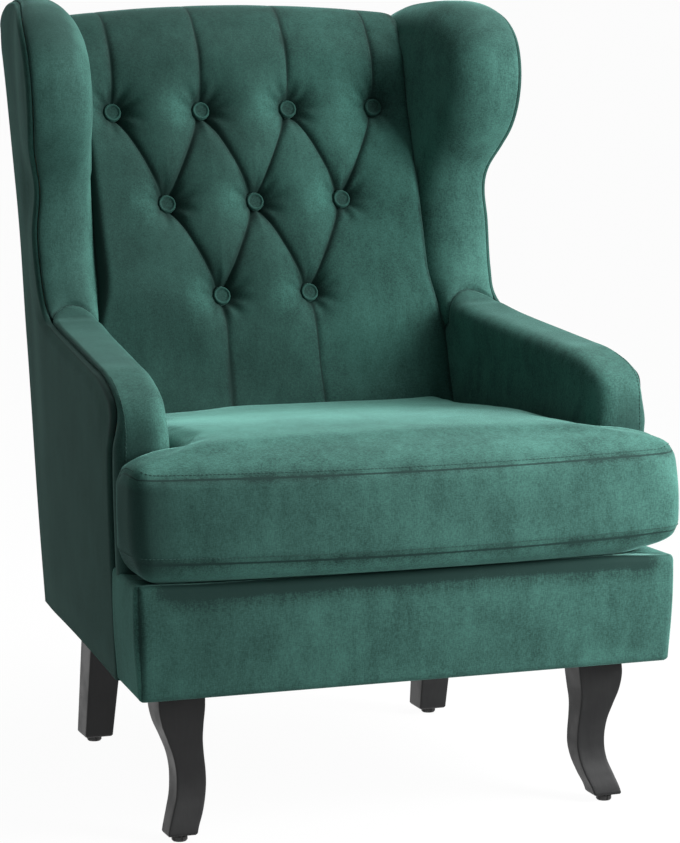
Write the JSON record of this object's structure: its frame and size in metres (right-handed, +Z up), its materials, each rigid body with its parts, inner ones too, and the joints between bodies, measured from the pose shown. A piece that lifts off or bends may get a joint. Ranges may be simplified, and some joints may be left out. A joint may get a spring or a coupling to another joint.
{
  "type": "wing chair",
  "caption": "Upholstered wing chair with a diamond-buttoned raked back, slim arms, a loose T-shaped seat cushion and S-curved front legs on levelling glides.",
  "frame": {"origin": "on the floor, under the middle of the chair's bounding box", "axes": "+Z up, -Y towards the front of the seat, +X to the right as seen from the front"},
  "size_m": [0.7386, 0.8036, 1.015],
  "materials": {
    "velvet": "short-pile velvet with a directional sheen",
    "black_wood": "black satin lacquer",
    "hardwood": "raw, sawn",
    "plywood": "raw birch plywood",
    "steel": "oil-tempered wire and zinc-plated bolts",
    "webbing": "woven elastic webbing",
    "lining": "black non-woven lining",
    "glide_plastic": "matte moulded"
  },
  "bodies": {
    "chair": {"arm_board_left": "plywood", "arm_board_right": "plywood", "arm_pad_left": "velvet", "arm_pad_right": "velvet", "back_lower_rail": "hardwood", "back_pad": "velvet", "back_post_left": "hardwood", "back_post_right": "hardwood", "back_rail": "hardwood", "back_top_rail": "hardwood", "back_webbing_1": "webbing", "back_webbing_2": "webbing", "back_webbing_3": "webbing", "button_1": "velvet", "button_2": "velvet", "button_3": "velvet", "button_4": "velvet", "button_5": "velvet", "button_6": "velvet", "button_7": "velvet", "button_8": "velvet", "button_9": "velvet", "corner_block_front_left": "hardwood", "corner_block_front_right": "hardwood", "corner_block_rear_left": "hardwood", "corner_block_rear_right": "hardwood", "dust_cover": "lining", "front_border": "velvet", "front_rail": "hardwood", "leg_bolt_front_left": "steel", "leg_bolt_front_right": "steel", "leg_bolt_rear_left": "steel", "leg_bolt_rear_right": "steel", "leg_front_left": "black_wood", "leg_front_right": "black_wood", "leg_rear_left": "black_wood", "leg_rear_right": "black_wood", "outside_arm_left": "velvet", "outside_arm_right": "velvet", "outside_back": "velvet", "outside_wing_left": "velvet", "outside_wing_right": "velvet", "seat_deck": "lining", "seat_spring_1": "steel", "seat_spring_2": "steel", "seat_spring_3": "steel", "seat_spring_4": "steel", "seat_spring_5": "steel", "side_rail_left": "hardwood", "side_rail_right": "hardwood", "wing_board_left": "plywood", "wing_board_right": "plywood", "wing_pad_left": "velvet", "wing_pad_right": "velvet"},
    "cushion": {"seat_cushion": "velvet"},
    "glide_front_left": {"glide_front_left": "glide_plastic"},
    "glide_front_right": {"glide_front_right": "glide_plastic"},
    "glide_rear_left": {"glide_rear_left": "glide_plastic"},
    "glide_rear_right": {"glide_rear_right": "glide_plastic"}
  },
  "joints": [
    {"name": "cushion_lift", "type": "slide", "parent": "chair", "child": "cushion", "axis": [0, 0, 1], "range_m": [0, 0.25]},
    {"name": "glide_front_left_turn", "type": "hinge", "parent": "chair", "child": "glide_front_left", "pos_m": [-0.2869, -0.331, 0], "axis": [0, 0, 1], "continuous": true},
    {"name": "glide_front_right_turn", "type": "hinge", "parent": "chair", "child": "glide_front_right", "pos_m": [0.2869, -0.331, 0], "axis": [0, 0, 1], "continuous": true},
    {"name": "glide_rear_left_turn", "type": "hinge", "parent": "chair", "child": "glide_rear_left", "pos_m": [-0.24851, 0.195, 0], "axis": [0, 0, 1], "continuous": true},
    {"name": "glide_rear_right_turn", "type": "hinge", "parent": "chair", "child": "glide_rear_right", "pos_m": [0.24851, 0.195, 0], "axis": [0, 0, 1], "continuous": true}
  ]
}
